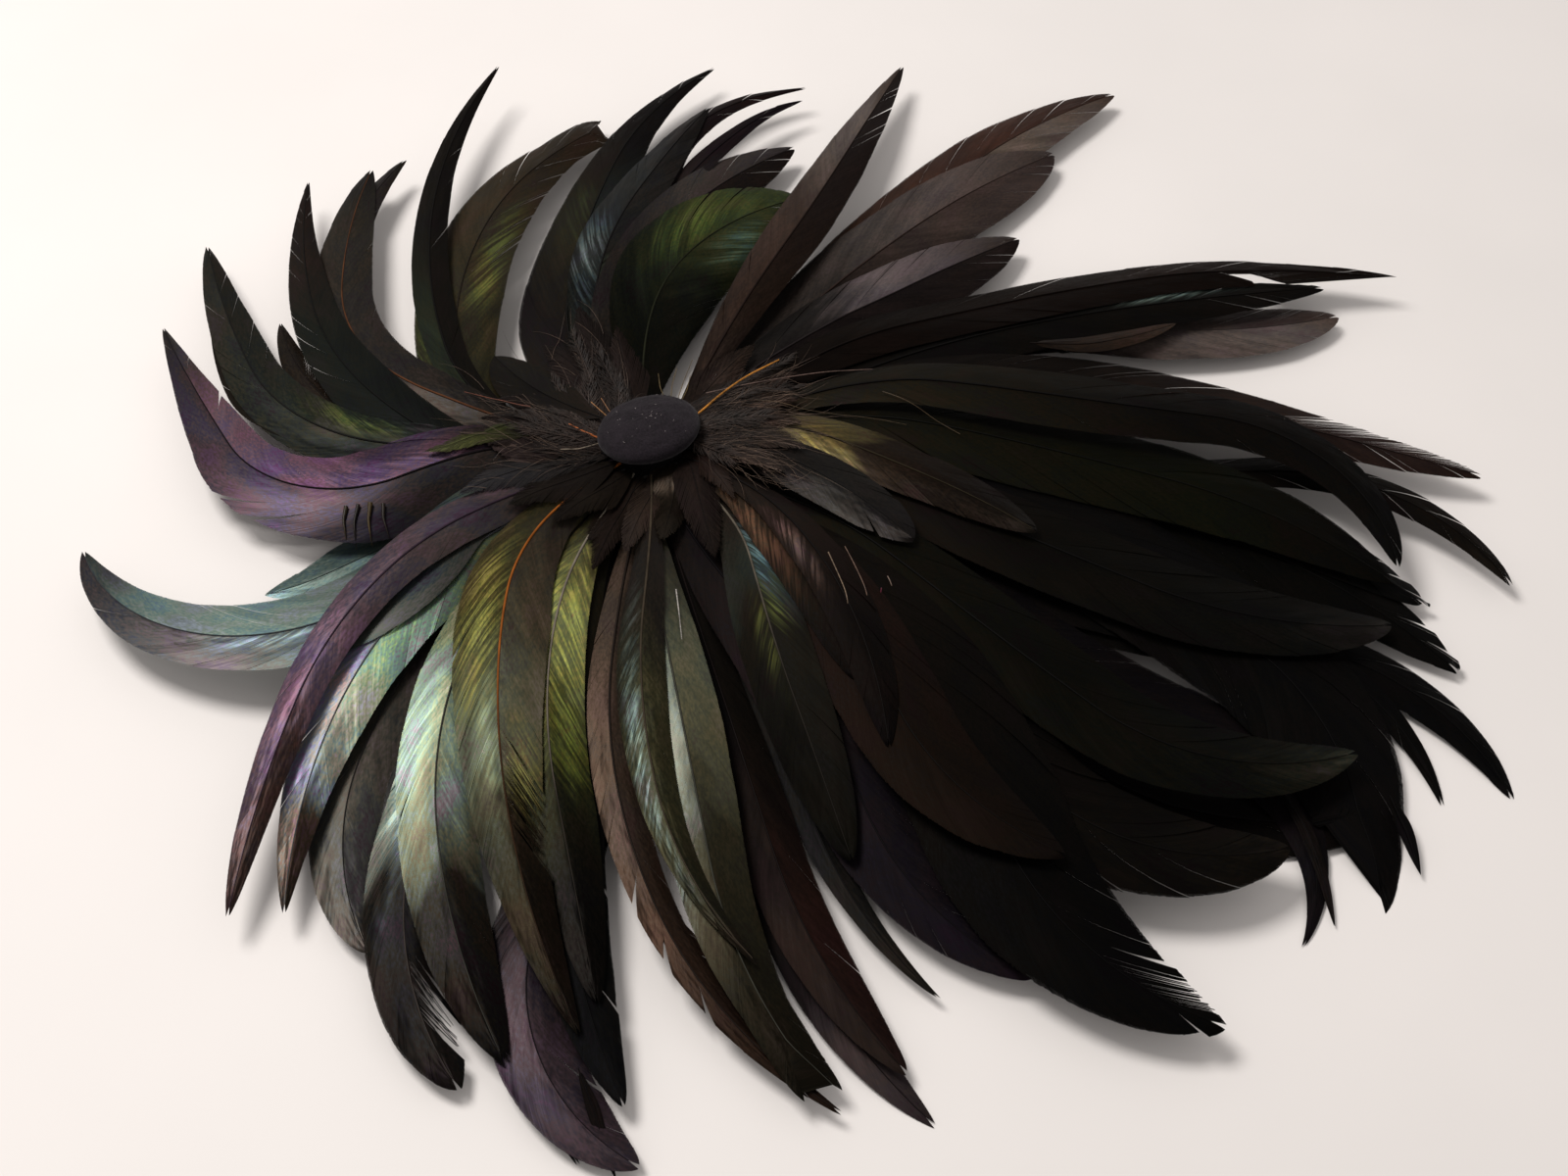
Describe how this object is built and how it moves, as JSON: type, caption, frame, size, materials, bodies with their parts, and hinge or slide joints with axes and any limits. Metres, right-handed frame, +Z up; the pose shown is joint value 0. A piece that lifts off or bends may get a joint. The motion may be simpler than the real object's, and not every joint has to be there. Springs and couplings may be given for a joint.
{
  "type": "hat feather plume",
  "caption": "Hat trimming: dark glossy rooster tail feathers fanned out flat from a small cloth-covered button, for pinning or sewing to a hat.",
  "frame": {"origin": "centre of the flat underside of the backing pad, which is the face the plume rests on", "axes": "+Z up out of the rest face, towards the button; +Y away from the viewer, towards the short upright feathers; +X to the viewer's right, towards the longest feathers"},
  "size_m": [0.3298, 0.3333, 0.0206],
  "materials": {
    "button_cloth": "matt wool cloth, dark navy, slightly fuzzy",
    "pad_felt": "matt black felt",
    "vane_black": "glossy feather vane, near black with green and violet sheen",
    "vane_green_black": "glossy feather vane, bottle green sheen over black",
    "vane_teal": "satin feather vane, bright teal to silver sheen",
    "vane_purple": "satin feather vane, plum and lilac sheen",
    "vane_violet_black": "glossy feather vane, violet sheen over black",
    "vane_olive": "glossy feather vane, olive and bronze green sheen",
    "vane_gold": "satin feather vane, golden olive sheen",
    "vane_brown": "feather vane, dark brown with a purple cast",
    "vane_warm_brown": "thin feather vane, warm reddish brown",
    "vane_grey": "thin feather vane, pale grey-brown to slate",
    "vane_copper": "satin feather vane, coppery pink sheen"
  },
  "bodies": {
    "root": {"backing_pad": "pad_felt", "button": "button_cloth", "feather_bottom_1": "vane_brown", "feather_bottom_2": "vane_brown", "feather_bottom_3": "vane_brown", "feather_bottom_4": "vane_olive", "feather_bottom_5": "vane_teal", "feather_centre_1": "vane_gold", "feather_centre_2": "vane_grey", "feather_centre_3": "vane_copper", "feather_centre_4": "vane_copper", "feather_centre_5": "vane_olive", "feather_left_1": "vane_purple", "feather_left_2": "vane_teal", "feather_left_3": "vane_purple", "feather_lower_left_1": "vane_black", "feather_lower_left_2": "vane_purple", "feather_lower_left_3": "vane_black", "feather_lower_left_4": "vane_gold", "feather_lower_left_5": "vane_grey", "feather_lower_left_6": "vane_teal", "feather_lower_left_7": "vane_teal", "feather_lower_left_8": "vane_gold", "feather_lower_left_9": "vane_teal", "feather_lower_right_1": "vane_black", "feather_lower_right_10": "vane_black", "feather_lower_right_2": "vane_black", "feather_lower_right_3": "vane_violet_black", "feather_lower_right_4": "vane_brown", "feather_lower_right_5": "vane_green_black", "feather_lower_right_6": "vane_green_black", "feather_lower_right_7": "vane_black", "feather_lower_right_8": "vane_black", "feather_lower_right_9": "vane_purple", "feather_right_1": "vane_brown", "feather_right_10": "vane_green_black", "feather_right_2": "vane_grey", "feather_right_3": "vane_black", "feather_right_4": "vane_brown", "feather_right_5": "vane_black", "feather_right_6": "vane_black", "feather_right_7": "vane_black", "feather_right_8": "vane_black", "feather_right_9": "vane_green_black", "feather_top_1": "vane_olive", "feather_top_2": "vane_grey", "feather_top_3": "vane_violet_black", "feather_top_4": "vane_black", "feather_top_5": "vane_teal", "feather_upper_left_1": "vane_grey", "feather_upper_left_2": "vane_green_black", "feather_upper_left_3": "vane_brown", "feather_upper_left_4": "vane_violet_black", "feather_upper_left_5": "vane_green_black", "feather_upper_left_6": "vane_olive", "feather_upper_left_7": "vane_teal", "feather_upper_right_1": "vane_warm_brown", "feather_upper_right_2": "vane_grey", "feather_upper_right_3": "vane_grey", "feather_upper_right_4": "vane_warm_brown"}
  },
  "joints": []
}
